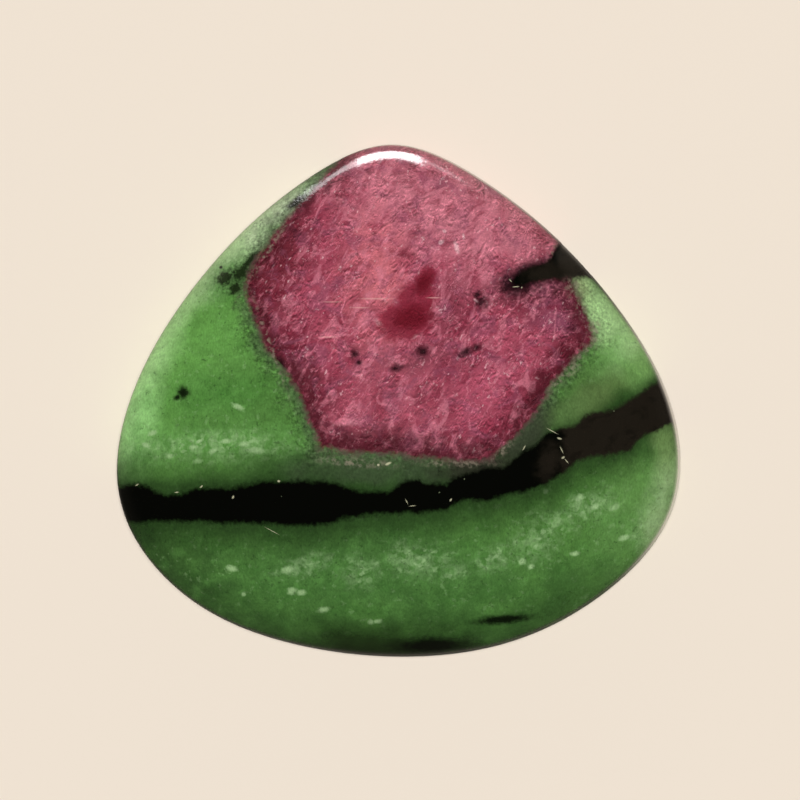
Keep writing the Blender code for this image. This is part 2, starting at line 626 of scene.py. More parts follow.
    def build(self) -> bpy.types.Object:
        """Builds the stone as one closed mesh with its texture map.

        Returns:
            The stone, in metres, linked to the scene.
        """
        smooth, zones = self.rings()
        rings = self.worn(self.soften_edges(smooth, zones), zones)
        count = self.round_count
        top = self.size[2] - self.relief(np.array([[*self.summit, self.size[2]]]))[0]
        ends = np.array([[0.0, 0.0, 0.0], [*self.summit, top]])
        places = np.vstack([rings.reshape(-1, 3), ends])
        places[:, 2] += self.low.z / MM + self.margin
        back_middle, summit = len(places) - 2, len(places) - 1
        last = (len(rings) - 1) * count
        faces, owners, turns = [], [], []
        for j in range(count):
            after = (j + 1) % count
            faces.append((back_middle, after, j))
            owners.append(Zone.BACK)
            turns.append((j, j + 1, j))
            faces.append((summit, last + j, last + after))
            owners.append(Zone.DOME)
            turns.append((j, j, j + 1))
            for i, zone in enumerate(zones):
                here, above = i * count, (i + 1) * count
                faces.append((here + j, here + after, above + after, above + j))
                owners.append(zone)
                turns.append((j, j + 1, j + 1, j))
        data = bpy.data.meshes.new("cabochon_stone")
        data.from_pydata(places * MM, [], faces)
        layer = data.uv_layers.new(name="OFBake")
        mapped = [
            self.map_corners(places[list(face)], zone, np.array(turn) / count)
            for face, zone, turn in zip(faces, owners, turns)
        ]
        layer.uv.foreach_set("vector", np.vstack(mapped).astype(np.float32).ravel())
        data.shade_smooth()
        stone = bpy.data.objects.new("cabochon_stone", data)
        bpy.context.scene.collection.objects.link(stone)
        return stone

    def dress(self, stone: bpy.types.Object) -> None:
        """Gives the stone its finish and tells the frame what it stands for.

        Args:
            stone: the stone's object.
        """
        stone.data.materials.append(PolishedRubyInZoisite(self.marks, self.wall_top).make())
        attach(stone, "root")
        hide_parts("cabochon")
        log.info("%s: %d faces", stone.name, len(stone.data.polygons))


@dataclass(frozen=True)
class PolishedRubyInZoisite:
    """Ruby, zoisite and amphibole cut together and polished with fine diamond on a leather lap.

    The eye sees a wet-looking gloss over a grainy rock: rose ruby full of short pale wisps, cloudy
    leaf-green zoisite with light flecks, and amphibole that is black, or brown-black in places.
    """

    marks: Markings
    # The height of the wall's top, below which the minerals' boundaries slant.
    slant_from: float
    # Typical of zoisite and close to ruby's 1.76, so one value serves the whole stone.
    ior: float = 1.70
    zoisite: str = "#4F7C3B"
    zoisite_deep: str = "#3A6A2C"
    zoisite_light: str = "#68A052"
    zoisite_fleck: str = "#A2C68E"
    zoisite_shade: str = "#1F3418"
    rim: str = "#4A5A40"
    rim_dark: str = "#1A2612"
    # The pale of the amphibole's chips, partly painted glints.
    vein_chip_glint: str = "#A6B48E"
    contact: str = "#574B44"
    contact_pale: str = "#958C7A"
    ruby: str = "#9C4659"
    ruby_deep: str = "#762337"
    ruby_mauve: str = "#8C4C62"
    ruby_pale: str = "#D27E90"
    ruby_margin: str = "#4A1922"
    ruby_heart: str = "#641522"
    ruby_heart_pale: str = "#85293B"
    # The white of painted glints.
    ruby_painted_glint: str = "#F0C8CE"
    amphibole: str = "#040503"
    amphibole_brown: str = "#1F1B15"
    amphibole_red: str = "#1C0B10"
    # The pale of chips and flaws, partly painted glints.
    chip_and_glint: str = "#C9C8A6"
    scratch: str = "#D9A09E"
    # Real sizes of the pattern: the clouds and the grains.
    cloud: float = 4.0
    grain: float = 0.11
    # Small grains that show in the dome have ended at this height above the back.
    back_layer: float = 1.0
    # Roughness of a diamond polish and of the softer grain boundaries, and the least and most
    # roughness of the streaks that lapping leaves on the back.
    polished: float = 0.07
    grainy: float = 0.20
    lapped: tuple[float, float] = (0.34, 0.50)
    # Height of the micro-relief that the bump stands for.
    relief: float = 0.006
    # How many times its own size round an oval patch the distance to it is still measured.
    oval_span: float = 3.0
    # How deep an oval patch goes. It is so much deeper than the stone that its sides are upright.
    oval_depth: float = 1e6
    # How far from the middle of the stone the minerals' edges are looked up.
    edge_span: float = 20.0
    # The distances out of the ruby, and out of a vein, between which it fades in.
    ruby_edge: tuple[float, float] = (0.18, -0.16)
    vein_edge: tuple[float, float] = (0.26, -0.16)
    # The distances out of the ruby between which the line at its contact fades in on each side.
    contact_inner: tuple[float, float] = (-0.22, 0.00)
    contact_outer: tuple[float, float] = (0.34, 0.08)
    # The heights above the back between which the streaks of the lapping fade in.
    lapped_edge: tuple[float, float] = (0.30, 0.05)

    def make(self) -> bpy.types.Material:
        """Builds the material.

        Returns:
            The stone's material.
        """
        material = bpy.data.materials.new("polished_ruby_in_zoisite")
        material.use_nodes = True
        tree = material.node_tree
        tree.nodes.clear()
        rock = RockPattern.start(tree, self)
        colour = rock.paint()
        roughness, height = rock.polish()
        feeds = {"Height": height, "Distance": self.relief * MM, "Strength": 1.0}
        bump = add_node(tree, "Bump", feeds)
        shader = add_node(
            tree,
            "BsdfPrincipled",
            {"Base Color": colour, "Roughness": roughness, "Normal": bump, "IOR": self.ior},
        )
        output = tree.nodes.new("ShaderNodeOutputMaterial")
        tree.links.new(shader, output.inputs["Surface"])
        return material


# The zoisite's broad patches of colour, with painted reflection along the upper-left and left rims
# and painted shade towards the wide end.
ZOISITE_TINTS_WITH_PAINTED_LIGHT = (
    Tint("#669F4D", Spot(-12.8, 3.2, 3.2, 5.4, -28), 0.85, 0.8),
    # Pale along the upper-left rim and shoulder: partly the zoisite's own pale tone, partly painted
    # reflection of the bright room in the steep dome.
    Tint("#ACD494", Spot(-9.5, 9.9, 4.8, 1.2, 48), 0.90, 0.9),
    Tint("#B6C6A6", Spot(-7.1, 11.4, 2.8, 0.8, 44), 0.85, 0.9),
    # Pale along the left rim: partly painted reflection, as in the upper-left.
    Tint("#9FD287", Spot(-15.1, 2.0, 1.1, 4.8, -20), 0.92, 0.8),
    Tint("#92CC7C", Spot(-16.0, -1.2, 1.2, 3.0, -8), 0.90, 0.8),
    Tint("#5E9349", Spot(-11.6, -2.7, 5.0, 1.0, 3), 0.80, 0.8),
    Tint("#467A35", Spot(-11.0, 0.5, 2.8, 1.1, 4), 0.65, 0.8),
    Tint("#3C6A2E", Spot(-10.3, 7.5, 1.5, 0.9, 45), 0.75, 0.7),
    Tint("#70A858", Spot(13.8, 3.6, 1.5, 3.6, 27), 0.85, 0.8),
    Tint("#A4CC8A", Spot(13.1, 5.3, 0.9, 3.2, 36), 0.86, 0.8),
    Tint("#A0CA86", Spot(15.2, 2.6, 0.7, 1.5, 25), 0.72, 0.8),
    Tint("#54773F", Spot(11.2, 0.4, 2.6, 1.1, 38), 0.75, 0.8),
    Tint("#435B3A", Spot(-2.0, -4.1, 5.2, 0.9, -2), 0.80, 0.7),
    Tint("#2E2A22", Spot(5.2, -3.9, 2.6, 0.8, 12), 0.88, 0.7),
    Tint("#434A38", Spot(8.2, -1.9, 2.0, 1.0, 48), 0.85, 0.7),
    # Darker towards the wide end: partly the zoisite's own tone, partly painted shade where the
    # dome turns away from the light.
    Tint("#446E36", Spot(-2.0, -10.6, 11.5, 2.4), 0.75, 0.7),
    Tint("#2C4623", Spot(-14.0, -10.0, 4.4, 1.8, -40), 0.80, 0.8),
    Tint("#62904D", Spot(14.4, -6.4, 1.6, 4.4, -24), 0.75, 0.8),
    Tint("#9AB883", Spot(16.1, -5.2, 0.8, 3.0, -14), 0.85, 0.8),
)

# Where the zoisite darkens towards the wide end's rim: partly its own darker tone, partly painted
# shade where the dome turns away from the light.
DARK_AND_SHADED_EDGES = (
    Tint("#26401E", Spot(0.6, -16.0, 12.5, 2.9), 0.72, 0.9),
    Tint("#2B4822", Spot(9.2, -12.7, 4.4, 1.3, 26), 0.62, 0.9),
    Tint("#304E26", Spot(-8.8, -14.0, 4.8, 1.5, -22), 0.66, 0.9),
    Tint("#18240F", Spot(-1.4, -15.2, 5.6, 1.3, -2), 0.90, 0.9),
)

# The narrow zoisite between the ruby and the vein, which is grey with finely spread amphibole.
NARROWS = (
    Tint("#3D4F34", Spot(-1.6, -4.3, 4.6, 0.75, -2), 0.70, 0.7),
    Tint("#292A21", Spot(5.0, -3.9, 2.4, 0.8, 8), 0.88, 0.7),
    Tint("#373E2F", Spot(7.9, -2.3, 1.7, 0.7, 46), 0.80, 0.7),
)

# Where the zoisite stays bright nearly up to the vein.
BRIGHT_SIDES = (
    Tint("#55853F", Spot(-12.0, -4.0, 3.8, 0.6, 2), 0.36, 0.9),
    Tint("#5A7442", Spot(12.0, 0.35, 2.4, 0.7, 30), 0.80, 0.8),
    Tint("#5A7A45", Spot(10.0, -0.8, 1.3, 0.6, 38), 0.70, 0.9),
    Tint("#74A25A", Spot(14.9, 1.9, 1.1, 0.8, 42), 0.85, 0.8),
    Tint("#6F9054", Spot(16.3, -2.8, 0.7, 1.5, -8), 0.80, 0.8),
    Tint("#5F8C48", Spot(14.3, -5.4, 1.6, 1.5, 20), 0.60, 0.8),
)

# Where the zoisite stays pale nearly up to the ruby.
PALE_SIDES = (
    Tint("#8A9268", Spot(11.3, 6.7, 0.5, 0.9, 20), 0.80, 0.9),
    Tint("#A2CA8A", Spot(12.3, 5.4, 0.8, 2.2, 24), 0.84, 0.9),
    Tint("#7FAE68", Spot(12.6, 2.4, 1.0, 0.9, 40), 0.25, 0.9),
)

# Milky patches in the zoisite.
MILKY_PATCHES = (
    Spot(1.3, -9.6, 1.5, 0.85, -6),
    Spot(-2.2, -10.3, 0.9, 0.75),
    Spot(5.7, -9.5, 0.9, 0.60, 18),
    Spot(8.6, -8.3, 1.6, 1.00, 40),
    Spot(3.4, -10.4, 0.7, 0.35, 10),
    Spot(-5.6, -9.9, 1.2, 0.50, 12),
    Spot(11.6, -6.4, 1.8, 0.70, 20),
    Spot(-11.4, -2.9, 3.8, 0.80, 3),
    Spot(-9.2, 9.7, 3.4, 0.75, 49),
    Spot(13.1, 4.6, 0.8, 1.7, 33),
    Spot(15.4, -6.6, 0.7, 1.8, -24),
)

# The ruby's broad patches of colour: rose and mauve inside, and dark crimson along its sides.
RUBY_TINTS = (
    Tint("#C97A89", Spot(2.6, 11.3, 6.2, 2.6, -22), 0.90, 0.7),
    Tint("#BE6672", Spot(-1.4, 7.0, 2.1, 3.6), 0.88, 0.7),
    Tint("#D0747E", Spot(-0.75, 6.9, 0.9, 1.6, 15), 0.75, 0.9),
    Tint("#7C3A48", Spot(3.0, 5.5, 1.6, 1.8), 0.70, 0.8),
    Tint("#AC5166", Spot(5.6, 1.1, 1.4, 2.8, -22), 0.75, 0.8),
    Tint("#80404E", Spot(2.2, 2.5, 3.2, 0.8, 4), 0.60, 0.8),
    Tint("#6E323F", Spot(9.0, 5.9, 2.2, 1.5, -12), 0.80, 0.8),
    Tint("#5C2430", Spot(10.6, 5.2, 0.8, 1.5, 24), 0.70, 0.8),
    Tint("#5A202C", Spot(10.1, 3.0, 1.1, 0.7, 42), 0.80, 0.8),
    Tint("#66242F", Spot(-7.5, 7.9, 1.5, 3.6, -34), 0.85, 0.8),
    Tint("#60222E", Spot(-7.3, 9.4, 0.8, 1.0, -30), 0.50, 0.8),
    Tint("#602631", Spot(-6.3, 2.2, 1.4, 3.8, 28), 0.85, 0.8),
    Tint("#66303A", Spot(-0.4, -2.7, 5.4, 1.0, -4), 0.85, 0.8),
    Tint("#5C202C", Spot(9.0, 1.2, 0.9, 3.8, -40), 0.85, 0.8),
    Tint("#6A2230", Spot(0.45, 8.7, 0.7, 0.20, -10), 0.60, 0.7),
    Tint("#94506A", Spot(9.6, 5.1, 1.1, 1.0, 20), 0.55, 0.9),
    Tint("#4C2C2E", Spot(9.0, 6.75, 1.2, 0.40, -4), 0.60, 0.9),
)

# Short pale partings of the ruby, and painted glints: white specks painted where small grains of it
# catch the light.
RUBY_PARTINGS = (
    Spot(2.10, 4.15, 0.18, 0.08, 50),
    Spot(-3.0, -1.30, 0.75, 0.22, 3),
    Spot(-2.0, 4.60, 1.05, 0.05, 40),
    Spot(-3.7, 3.85, 0.95, 0.06, 6),
)
RUBY_PAINTED_GLINTS = (
    Spot(-1.02, 4.50, 0.36, 0.14, -45),
    Spot(1.02, 3.80, 0.18, 0.09, 35),
    Spot(3.56, 9.20, 0.12, 0.34, 15),
    Spot(2.62, 9.50, 0.15, 0.11, 40),
    Spot(3.98, 9.87, 0.07, 0.15, 5),
    Spot(2.83, 10.18, 0.11, 0.08, -30),
    Spot(4.72, 5.98, 0.14, 0.07, -40),
)

# Where a pale, limy film lies along the ruby, between it and the zoisite.
PALE_CONTACTS = (
    Spot(-7.65, 9.25, 2.80, 0.13, 58),
    Spot(-7.65, 3.30, 0.11, 2.60, 20),
    Spot(9.50, 8.90, 0.24, 0.60, -25),
    Spot(10.60, 6.85, 0.42, 0.65, 24),
    Spot(11.15, 5.50, 0.28, 0.70, 24),
    Spot(11.90, 4.20, 0.32, 0.90, -4),
    Spot(11.20, 2.95, 0.75, 0.28, 38),
    Spot(10.45, 1.95, 0.80, 0.30, 44),
    Spot(9.60, 1.10, 0.80, 0.18, 50),
    Spot(6.30, -3.05, 0.70, 0.20, 40),
    Spot(3.40, -3.82, 1.70, 0.18, -1),
    Spot(-2.50, -3.72, 1.90, 0.24, -4),
)

# Where the amphibole turns brown.
BROWN_PATCHES = (
    Spot(9.0, 7.75, 1.3, 0.55, 8),
    Spot(10.6, 8.2, 0.9, 0.9),
    Spot(9.15, -3.65, 0.65, 0.95, -12),
)

# Single pale grains in the zoisite that stand out from the rest.
PALE_GRAINS = (
    Spot(-12.3, -2.82, 0.26, 0.13, 5),
    Spot(-9.15, -2.66, 0.30, 0.14, -8),
    Spot(-8.50, -3.02, 0.50, 0.16, -4),
    Spot(-10.3, -2.46, 0.30, 0.12),
    Spot(-11.9, -2.46, 0.20, 0.09, 30),
    Spot(-13.7, -3.37, 0.20, 0.12),
    Spot(-12.0, -3.67, 0.26, 0.12),
    Spot(-14.8, -1.98, 0.26, 0.13, 20),
    Spot(-9.60, -0.40, 0.34, 0.14, -30),
    Spot(-15.2, -2.70, 0.22, 0.12, -20),
    Spot(-11.1, -3.05, 0.24, 0.12, 20),
    Spot(8.90, -5.47, 0.14, 0.13),
    Spot(10.95, -5.90, 0.24, 0.18, 60),
    Spot(11.90, -6.40, 0.20, 0.15),
    Spot(13.10, -6.45, 0.34, 0.15, 30),
    Spot(13.70, -8.30, 0.30, 0.14, 15),
    Spot(10.70, -9.25, 0.26, 0.12, 10),
    Spot(7.50, -9.70, 0.18, 0.16, 40),
    Spot(8.04, -10.04, 0.16, 0.12, 25),
    Spot(-6.35, -11.50, 0.24, 0.20, 10),
    Spot(-5.80, -11.60, 0.26, 0.14, 5),
    Spot(-4.50, -12.65, 0.30, 0.15, 10),
    Spot(-9.30, -11.70, 0.12, 0.12),
    Spot(-10.00, -10.15, 0.30, 0.16, -10),
    Spot(-6.60, -10.20, 0.32, 0.20, 15),
    Spot(-1.62, -13.38, 0.15, 0.15, 4),
    Spot(-1.18, -13.34, 0.24, 0.11, 4),
)

# Fine scratches, chips and open flaws that show pale. Many of the chips are painted glints, small
# highlights painted into the colour.
SCRATCHES = (
    Spot(-1.29, 6.09, 0.87, 0.045),
    Spot(-3.93, 5.90, 0.55, 0.035),
    Spot(-2.27, 5.55, 0.50, 0.040),
    Spot(2.15, 6.15, 0.38, 0.040),
    Spot(-4.17, 3.79, 0.44, 0.040),
)
CHIPS_AND_GLINTS = (
    Spot(-9.88, -5.83, 0.05, 0.09, -25),
    Spot(9.30, -1.86, 0.32, 0.020, -28),
    Spot(9.72, -2.30, 0.12, 0.05, -15),
    Spot(9.86, -2.98, 0.025, 0.19, 25),
    Spot(9.95, -3.45, 0.09, 0.05, 30),
    Spot(10.16, -3.66, 0.15, 0.025, -50),
    Spot(0.55, -6.08, 0.17, 0.020, -65),
    Spot(0.90, -6.34, 0.17, 0.022, 6),
    Spot(3.20, -5.97, 0.09, 0.05, 55),
    Spot(-7.55, -7.85, 0.40, 0.015, -28),
    Spot(-7.13, -4.86, 0.07, 0.06),
    Spot(-0.55, -3.80, 0.16, 0.06, 20),
    Spot(-1.15, -3.88, 0.06, 0.05),
    Spot(7.12, 6.83, 0.17, 0.030, 4),
    Spot(6.80, 7.20, 0.10, 0.025, -50),
    Spot(7.48, 6.78, 0.05, 0.030, 60),
    Spot(-15.75, -5.12, 0.10, 0.035, 30),
    Spot(-13.30, -5.55, 0.12, 0.030, 5),
    Spot(-11.80, -5.20, 0.09, 0.040, 40),
    Spot(7.60, -2.85, 0.14, 0.030, 60),
)


@dataclass(frozen=True)
class Wobble:
    """The ups and downs of a natural boundary, and how far along the rock to read them.

    Their length and their reach to each side are in millimetres.
    """

    size: float
    reach: float
    seed: float


@dataclass(frozen=True)
class RockPattern:
    """Wires the rock's pattern: which mineral shows where, with its colour, polish and relief.

    The pattern is solid. It is worked out in millimetres inside the stone, so that it runs on from
    the dome down the wall and across the back. Each coat of colour is laid as soon as its mask is
    wired, because a shader holds only so many values at once.
    """

    tree: bpy.types.NodeTree
    finish: PolishedRubyInZoisite
    place: Socket
    height: Socket

    @classmethod
    def start(cls, tree: bpy.types.NodeTree, finish: PolishedRubyInZoisite) -> "RockPattern":
        """Sets up the stone's own millimetres, with the slant of its boundaries.

        Args:
            tree: the material's node tree.
            finish: the colours and scales.

        Returns:
            A pattern, ready to paint.
        """
        marks = finish.marks
        metres = add_node(tree, "TexCoord", {}, out="Object")
        scale = (marks.spread / MM, marks.spread / MM, 1 / MM)
        feeds = {0: metres, 1: scale, 2: (*marks.middle, 0.0)}
        plan = add_node(tree, "VectorMath", feeds, operation="MULTIPLY_ADD")
        height = add_node(tree, "SeparateXYZ", {0: plan}, out="Z")
        below = worked(tree, "SUBTRACT", height, finish.slant_from)
        below = worked(tree, "MINIMUM", below, 0.0)
        feeds = {0: below, 1: (*marks.slant, 0.0), 2: plan}
        place = add_node(tree, "VectorMath", feeds, operation="MULTIPLY_ADD")
        return cls(tree, finish, place, height)

    def turned(
        self,
        middle: tuple[float, float, float],
        turn: float,
        size: tuple[float, float, float],
    ) -> Socket:
        """Gives the place as seen from a pattern that is moved, turned and enlarged.

        Args:
            middle: the pattern's middle.
            turn: how far it is turned about the vertical, in degrees.
            size: how many millimetres the pattern's own unit is, each way.

        Returns:
            The place in the pattern's own units.
        """
        feeds = {"Vector": self.place, "Location": middle, "Scale": size}
        feeds["Rotation"] = (0.0, 0.0, math.radians(turn))
        return add_node(self.tree, "Mapping", feeds, vector_type="TEXTURE")

    def cloud(
        self,
        size: float,
        seed: float,
        detail: float = 3.0,
        stretch: float = 1.0,
        turn: float = 0.0,
        swirl: float = 0.0,
        shift: float = 0.0,
    ) -> Socket:
        """Makes a solid noise whose lumps have a real size and direction.

        Args:
            size: the lumps' size in millimetres.
            seed: how far along the rock to read it, so that two clouds differ.
            detail: how many finer noises are added.
            stretch: how many times longer than wide the lumps are.
            turn: the direction they are long in, in degrees.
            swirl: how strongly the lumps curl round each other.
            shift: how far nearer the narrow end to read it, in millimetres.

        Returns:
            The noise, from 0 to 1 and mostly near 0.5.
        """
        start = (seed * 7.3, seed * 3.1 - shift, seed)
        turned = self.turned(start, turn, (size * stretch, size, size))
        feeds = {"Vector": turned, "Scale": 1.0, "Detail": detail, "Roughness": 0.55}
        return add_node(self.tree, "TexNoise", {**feeds, "Distortion": swirl})

    def patches(self, start: float, end: float, **cloud: float) -> Socket:
        """Makes soft patches where a cloud goes from start to end.

        Args:
            start: the cloud's value where the patches begin.
            end: the value from which they are full.
            **cloud: what cloud() takes.

        Returns:
            The patches' mask.
        """
        return faded(self.tree, self.cloud(**cloud), start, end)

    def flecks(
        self,
        size: float,
        share: float,
        radius: float,
        seed: float,
        stretch: float = 1.0,
        turn: float = 0.0,
    ) -> Socket:
        """Scatters small flecks, one at most in each cell of the rock.

        Args:
            size: the distance between cells in millimetres.
            share: the share of the cells that hold a fleck.
            radius: the flecks' radius as a share of the cell's size.
            seed: how far along the rock to read it.
            stretch: how many times longer than wide the flecks are.
            turn: the direction they are long in, in degrees.

        Returns:
            The flecks' mask.
        """
        start = (seed, seed * 2.7, seed * 0.6)
        turned = self.turned(start, turn, (size * stretch, size, size))
        near = add_node(self.tree, "TexVoronoi", {"Vector": turned, "Scale": 1.0})
        dot = faded(self.tree, near, radius, radius * 0.3)
        chance = add_node(self.tree, "SeparateColor", {0: near.node.outputs["Color"]})
        kept = worked(self.tree, "LESS_THAN", chance, share)
        return worked(self.tree, "MULTIPLY", dot, kept)

    def wisps(self, width: float, size: float, seed: float, stretch: float, turn: float) -> Socket:
        """Draws short, thin, wandering lines, like the parting seams in ruby.

        Args:
            width: how wide the lines are, as a share of the noise's range.
            size: how far apart they are in millimetres.
            seed: how far along the rock to read them.
            stretch: how much straighter than round they run.
            turn: the direction that they run in, in degrees.

        Returns:
            The lines' mask.
        """
        wander = self.cloud(size, seed, detail=2.0, stretch=stretch, turn=turn)
        ridge = worked(self.tree, "SUBTRACT", wander, 0.5)
        ridge = worked(self.tree, "ABSOLUTE", ridge)
        feeds = {"Value": ridge, "From Min": width, "From Max": width * 0.2}
        line = add_node(self.tree, "MapRange", feeds)
        broken = self.patches(0.47, 0.60, size=size * 1.1, seed=seed + 5.0, detail=2.0)
        return worked(self.tree, "MULTIPLY", line, broken)

    def oval(self, spot: Spot, softness: float, ragged: Socket) -> Socket:
        """Draws one oval patch, which goes straight down through the stone.

        Args:
            spot: the oval.
            softness: how soft its edge is, as a share of its size.
            ragged: what to add to its outline.

        Returns:
            The oval's mask.
        """
        span = self.finish.oval_span
        size = (spot.half_width * span, spot.half_height * span, self.finish.oval_depth)
        inside = self.turned((spot.x, spot.y, 0.0), spot.turn, size)
        near = add_node(
            self.tree, "TexGradient", {0: inside}, out="Fac", gradient_type="SPHERICAL"
        )
        near = worked(self.tree, "ADD", near, ragged)
        edge = 1 - 1 / span
        soft = softness / span
        return faded(self.tree, near, edge - soft, edge + soft)

    def ovals(self, spots: Iterable[Spot], softness: float, ragged: Socket) -> Socket:
        """Draws several ovals as one mask.

        Args:
            spots: the ovals.
            softness: how soft their edges are.
            ragged: what to add to their outlines.

        Returns:
            The mask of all of them.
        """
        joined = None
        for spot in spots:
            mask = self.oval(spot, softness, ragged)
            if joined is not None:
                mask = worked(self.tree, "MAXIMUM", joined, mask)
            joined = mask
        return joined

    def wobble(self, size: float, reach: float, seed: float, detail: float = 3.0) -> Socket:
        """Makes the small ups and downs of a natural boundary.

        Args:
            size: how long they are in millimetres.
            reach: how far they go to each side, in millimetres or shares.
            seed: how far along the rock to read them.
            detail: how many finer noises are added.

        Returns:
            The amount to add to a distance.
        """
        low, high = CLOUD_ALL
        feeds = {"Value": self.cloud(size, seed, detail), "From Min": low, "From Max": high}
        return add_node(self.tree, "MapRange", {**feeds, "To Min": -reach, "To Max": reach})

    def wobbled(self, distance: Socket, *wobbles: Wobble) -> Socket:
        """Adds wobbles of several sizes to a distance.

        Args:
            distance: the distance to a boundary.
            *wobbles: what to add.

        Returns:
            The natural distance.
        """
        for each in wobbles:
            wobble = self.wobble(each.size, each.reach, each.seed)
            distance = worked(self.tree, "ADD", distance, wobble)
        return distance

    def traced(self, edge: Points, along: Socket) -> Socket:
        """Looks up where an edge runs at each place along it.

        Args:
            edge: the edge's points in order, each as its place along and its place across.
            along: the place's coordinate along the edge in millimetres.

        Returns:
            The edge's coordinate across, in millimetres.
        """
        span = self.finish.edge_span
        share = add_node(
            self.tree, "MapRange", {"Value": along, "From Min": -span, "From Max": span}
        )
        height = add_node(self.tree, "FloatCurve", {"Value": share})
        mapping = height.node.mapping
        line = mapping.curves[0]
        scaled = [((x + span) / (2 * span), (y + span) / (2 * span)) for x, y in edge]
        line.points[0].location = (0.0, scaled[0][1])
        line.points[1].location = (1.0, scaled[-1][1])
        for x, y in scaled:
            line.points.new(x, y)
        for point in line.points:
            point.handle_type = "VECTOR"
        mapping.update()
        return add_node(self.tree, "MapRange", {"Value": height, "To Min": -span, "To Max": span})

    def furthest(self, *distances: tuple[Feed, Feed]) -> Socket:
        """Keeps the largest of several differences.

        Args:
            *distances: pairs of values, the second to be taken from the first.

        Returns:
            The largest difference.
        """
        largest = None
        for ahead, behind in distances:
            out = worked(self.tree, "SUBTRACT", ahead, behind)
            if largest is not None:
                out = worked(self.tree, "MAXIMUM", largest, out)
            largest = out
        return largest

    def crystal_reach(self, crystal: RubyCrystal) -> Socket:
        """Measures the distance out of the ruby, below 0 inside it.

        Args:
            crystal: the ruby's cut-across shape.

        Returns:
            The distance in millimetres, with the sides as uneven as grown ones.
        """
        across = add_node(self.tree, "SeparateXYZ", {0: self.place})
        up = across.node.outputs["Y"]
        out = self.furthest(
            (self.traced(crystal.left, up), across),
            (across, self.traced(crystal.right, up)),
            (self.traced(crystal.bottom, across), up),
        )
        out = worked(self.tree, "MULTIPLY", out, crystal.way_out)
        return self.wobbled(out, Wobble(0.9, 0.14, 1.0), Wobble(0.24, 0.10, 2.0))

    def vein_reach(self, vein: Vein, seed: float) -> Socket:
        """Measures the distance out of a vein, below 0 inside it.

        Args:
            vein: the vein.
            seed: how far along the rock to read its unevenness.

        Returns:
            The distance in millimetres.
        """
        across = add_node(self.tree, "SeparateXYZ", {0: self.place})
        up = across.node.outputs["Y"]
        out = self.furthest(
            (up, self.traced(vein.upper, across)),
            (self.traced(vein.lower, across), up),
            (vein.upper[0][0], across),
        )
        return self.wobbled(out, Wobble(0.8, 0.11, seed), Wobble(0.24, 0.10, seed + 1))

    def beside(self, reach: Socket, start: float, end: float, *wobbles: Wobble) -> Socket:
        """Fades a mask in by its distance to a boundary.

        Args:
            reach: the distance out of the boundary.
            start: the distance at which the mask is 0.
            end: the distance at which it is 1.
            *wobbles: the fade's own wobbles.

        Returns:
            The mask.
        """
        return faded(self.tree, self.wobbled(reach, *wobbles), start, end)

    def near_dome(self) -> Socket:
        """Masks what shows in the dome, but does not reach down to the back.

        Returns:
            The mask.
        """
        return self.beside(self.height, self.finish.back_layer, self.finish.slant_from)

    def coat(
        self, under: Feed, colour: str | Socket, *masks: Socket, strength: float = 1.0
    ) -> Socket:
        """Lays a colour over another where all its masks show it.

        Args:
            under: the colour underneath.
            colour: the colour to lay, as sRGB hex or another node's output.
            *masks: where it goes.
            strength: how much it covers there.

        Returns:
            The two together.
        """
        share = strength
        for mask in masks:
            share = worked(self.tree, "MULTIPLY", mask, share)
        over = linear(colour) if isinstance(colour, str) else colour
        feeds = {0: share, MIX_UNDER: under, MIX_OVER: over}
        return add_node(self.tree, "Mix", feeds, out=MIX_RESULT, data_type="RGBA")

    def tinted(self, colour: Feed, tints: Iterable[Tint], ragged: Socket) -> Socket:
        """Lays the rock's broad patches over a colour.

        Args:
            colour: the colour underneath.
            tints: the patches.
            ragged: what makes their outlines uneven.

        Returns:
            The colour with its patches.
        """
        for tint in tints:
            patch = self.oval(tint.spot, tint.softness, ragged)
            colour = self.coat(colour, tint.colour, patch, strength=tint.strength)
        return colour

    def grained(self, colour: Socket, amount: float, *clouds: Socket) -> Socket:
        """Makes a colour a little lighter and darker from grain to grain.

        Args:
            colour: the even colour.
            amount: how much lighter or darker, as a share.
            *clouds: the noises that it follows, each in turn.

        Returns:
            The grained colour.
        """
        for cloud in clouds:
            colour = self.lit(colour, amount, cloud, CLOUD_MOST)
        return colour

    def lit(
        self, colour: Socket, amount: float, follows: Socket, between: tuple[float, float]
    ) -> Socket:
        """Makes a colour lighter or darker as another value rises or falls.

        Args:
            colour: the even colour.
            amount: how much lighter or darker, as a share.
            follows: the value that it follows.
            between: the values at which it is darkest and lightest.

        Returns:
            The uneven colour.
        """
        feeds = {"Value": follows, "From Min": between[0], "From Max": between[1]}
        shares = {"To Min": 1 - amount, "To Max": 1 + amount}
        light = add_node(self.tree, "MapRange", {**feeds, **shares})
        return add_node(self.tree, "HueSaturation", {"Color": colour, "Value": light})

    def painted_emboss(self, colour: Socket, amount: float, shift: float, **cloud: float) -> Socket:
        """Paints light on one side of each tiny parting and shade on the other, as a relief lit
        from one side would show.

        Args:
            colour: the even colour.
            amount: how much lighter or darker, as a share.
            shift: how far apart the two sides are, in millimetres.
            **cloud: what cloud() takes.

        Returns:
            The colour with its painted light and shade.
        """
        here, ahead = self.cloud(**cloud), self.cloud(shift=shift, **cloud)
        slope = worked(self.tree, "SUBTRACT", here, ahead)
        return self.lit(colour, amount, slope, CLOUD_SLOPE)

